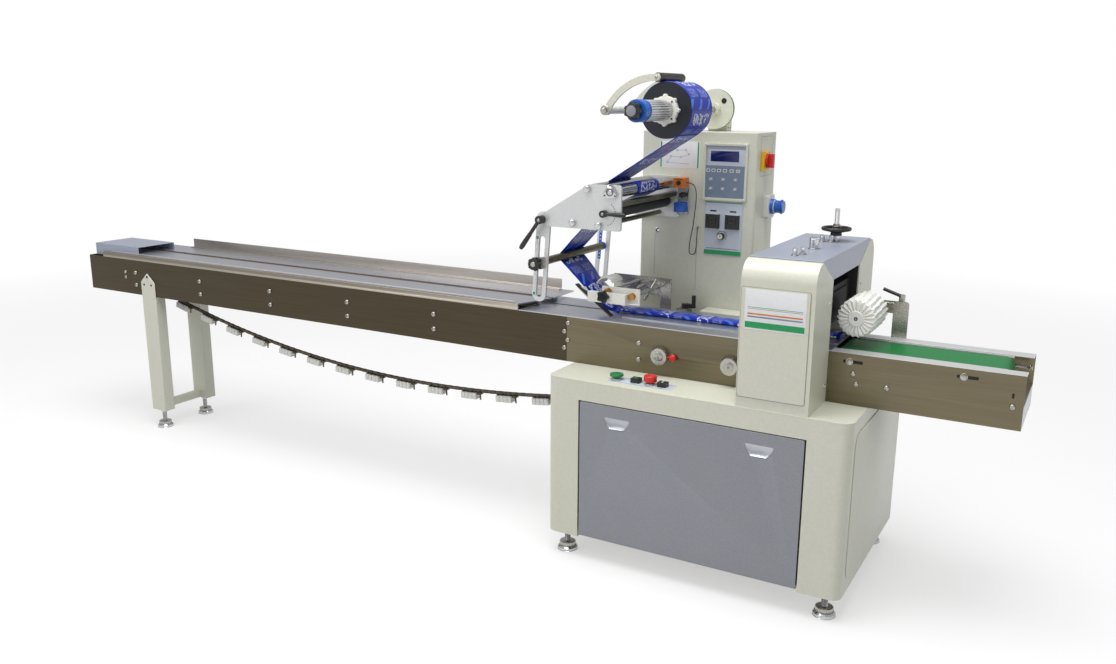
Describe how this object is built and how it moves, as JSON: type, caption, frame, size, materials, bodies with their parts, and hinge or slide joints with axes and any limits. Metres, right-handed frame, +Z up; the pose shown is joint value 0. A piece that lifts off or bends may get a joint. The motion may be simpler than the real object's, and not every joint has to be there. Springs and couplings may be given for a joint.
{
  "type": "horizontal flow wrapper",
  "caption": "Pillow pack flow wrapping machine with a chain infeed table, film unwind and former, seal box, control cabinet and belt discharge.",
  "frame": {"origin": "middle of the footprint, on the floor under the levelling feet", "axes": "+X along the packing line to the discharge end, +Y to the back, +Z up"},
  "size_m": [3.77, 0.734, 1.496],
  "materials": {
    "aluminium": "satin",
    "black_plastic": "matte",
    "black_rubber": "matte",
    "blue_film": "gloss",
    "blue_plastic": "gloss",
    "chain_steel": "oiled",
    "chrome": "polished",
    "cream_paint": "satin",
    "green_belt": "smooth",
    "green_plastic": "gloss",
    "grey_paint": "satin",
    "grey_plastic": "matte",
    "red_plastic": "gloss",
    "stainless": "brushed",
    "white_nylon": "matte",
    "white_plastic": "gloss"
  },
  "bodies": {
    "machine": {"back_guide_rail": "aluminium", "base_back": "cream_paint", "base_floor": "cream_paint", "base_front": "cream_paint", "base_left_side": "cream_paint", "base_right_side": "cream_paint", "base_top": "cream_paint", "button_panel": "black_plastic", "cabinet_panels": "grey_plastic", "control_cabinet": "cream_paint", "dancer_bar": "stainless", "discharge_bed": "aluminium", "discharge_belt": "green_belt", "discharge_side_plates": "stainless", "edge_sensor": "blue_plastic", "film_tube": "blue_film", "film_web_lower": "blue_film", "film_web_unit": "blue_film", "film_web_upper": "blue_film", "former_bracket": "stainless", "former_head": "aluminium", "infeed_side_plates": "stainless", "infeed_table": "aluminium", "infeed_ties": "stainless", "leg_frame": "cream_paint", "levelling_feet": "chrome", "main_deck": "aluminium", "main_side_plates": "stainless", "pusher_chain": "chain_steel", "rear_brackets": "stainless", "rear_drive_housing": "cream_paint", "roof_posts": "chrome", "seal_covers": "cream_paint", "seal_jaw_housing": "black_plastic", "seal_roof": "grey_paint", "sensor_cable": "black_rubber", "side_fittings": "white_plastic", "slotted_links": "aluminium", "tail_cover": "grey_paint", "tail_sprocket": "chain_steel", "unit_plates": "aluminium", "unit_rollers": "chrome", "unwind_brackets": "cream_paint"},
    "base_door": {"base_door": "grey_paint"},
    "reel": {"film_roll": "blue_film", "mandrel": "aluminium", "reel_knob": "black_plastic", "brake_disc": "cream_paint"},
    "tension_arm": {"tension_arms": "cream_paint"},
    "handwheel": {"handwheel": "black_plastic"},
    "brush_arm": {"brush_arm": "stainless"},
    "brush": {"brush": "white_nylon"},
    "knob_left": {"plate_knob_left": "stainless"},
    "knob_right": {"plate_knob_right": "stainless"},
    "crank": {"rear_crank": "black_plastic"},
    "main_switch": {"main_switch_handle": "red_plastic"},
    "nip_lever": {"nip_lever": "black_plastic"},
    "green_button": {"green_button": "green_plastic"},
    "red_button": {"red_button": "red_plastic"}
  },
  "joints": [
    {"name": "door_hinge", "type": "hinge", "parent": "machine", "child": "base_door", "pos_m": [1.027, -0.359, 0.087], "axis": [1, 0, 0], "range_deg": [0, 85]},
    {"name": "reel_spin", "type": "hinge", "parent": "machine", "child": "reel", "pos_m": [0.83, 0, 1.387], "axis": [0, 1, 0], "continuous": true},
    {"name": "tension_arm_lift", "type": "hinge", "parent": "machine", "child": "tension_arm", "pos_m": [0.64, -0.04, 1.385], "axis": [0, -1, 0], "range_deg": [0, 40]},
    {"name": "handwheel_turn", "type": "hinge", "parent": "machine", "child": "handwheel", "pos_m": [1.302, 0.099, 1.03], "axis": [0, 0, 1], "continuous": true},
    {"name": "brush_arm_tilt", "type": "hinge", "parent": "machine", "child": "brush_arm", "pos_m": [1.514, 0.081, 0.822], "axis": [0, 1, 0], "range_deg": [-12, 20]},
    {"name": "brush_spin", "type": "hinge", "parent": "brush_arm", "child": "brush", "pos_m": [1.432, -0.05, 0.822], "axis": [0, 1, 0], "continuous": true},
    {"name": "knob_left_turn", "type": "hinge", "parent": "machine", "child": "knob_left", "pos_m": [0.868, -0.204, 0.652], "axis": [0, 1, 0], "range_deg": [-60, 60]},
    {"name": "knob_right_turn", "type": "hinge", "parent": "machine", "child": "knob_right", "pos_m": [1.094, -0.204, 0.652], "axis": [0, 1, 0], "range_deg": [-60, 60]},
    {"name": "crank_turn", "type": "hinge", "parent": "machine", "child": "crank", "pos_m": [0.82, 0.102, 0.75], "axis": [0, 0, 1], "continuous": true},
    {"name": "main_switch_turn", "type": "hinge", "parent": "machine", "child": "main_switch", "pos_m": [1.03, 0.247, 1.226], "axis": [1, 0, 0], "range_deg": [0, 90]},
    {"name": "nip_lever_turn", "type": "hinge", "parent": "machine", "child": "nip_lever", "pos_m": [0.704, -0.277, 1.085], "axis": [0, 1, 0], "range_deg": [-35, 35]},
    {"name": "green_button_press", "type": "slide", "parent": "machine", "child": "green_button", "axis": [0, 0, -1], "range_m": [0, 0.003], "stiffness_N_per_m": 400},
    {"name": "red_button_press", "type": "slide", "parent": "machine", "child": "red_button", "axis": [0, 0, -1], "range_m": [0, 0.003], "stiffness_N_per_m": 400}
  ]
}
